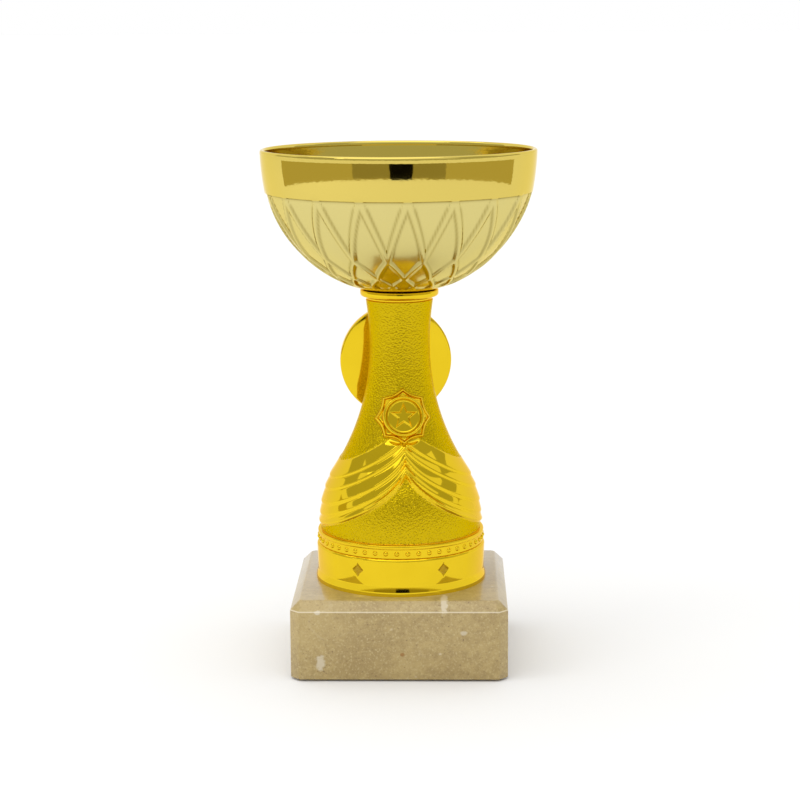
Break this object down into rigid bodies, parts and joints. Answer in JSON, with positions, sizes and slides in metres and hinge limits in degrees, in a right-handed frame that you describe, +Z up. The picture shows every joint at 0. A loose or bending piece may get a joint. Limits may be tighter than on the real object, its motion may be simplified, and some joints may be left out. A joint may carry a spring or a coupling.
{
  "type": "cup trophy",
  "caption": "Small award cup: a round gold-coloured metal bowl on a flared gold moulded riser with a disc behind its neck, on a square bevelled marble block.",
  "frame": {"origin": "middle of the pad's underside, on the surface that the trophy stands on, on the tie rod's axis", "axes": "+Z up along the tie rod, -Y out of the side with the medallion, +Y out of the side with the disc holder, X along the block's front face"},
  "size_m": [0.08, 0.08, 0.15],
  "materials": {
    "bowl_gold": "pale gold plating, mirror polished",
    "riser_gold": "metallised gold, polished with grained fields",
    "emblem_foil": "embossed gold foil",
    "emblem_resin": "clear resin",
    "marble": "polished beige marble",
    "zinc": "bright zinc plated",
    "pad_foam": "matt closed-cell foam"
  },
  "bodies": {
    "root": {"base_pad": "pad_foam", "marble_base": "marble", "tie_rod": "zinc", "base_washer": "zinc", "base_spring_washer": "zinc", "base_nut": "zinc", "foot_ring": "riser_gold", "riser": "riser_gold", "disc_holder": "riser_gold", "emblem_disc": "emblem_foil", "emblem_dome": "emblem_resin", "bowl": "bowl_gold", "bowl_washer": "zinc", "bowl_nut": "zinc"}
  },
  "joints": []
}
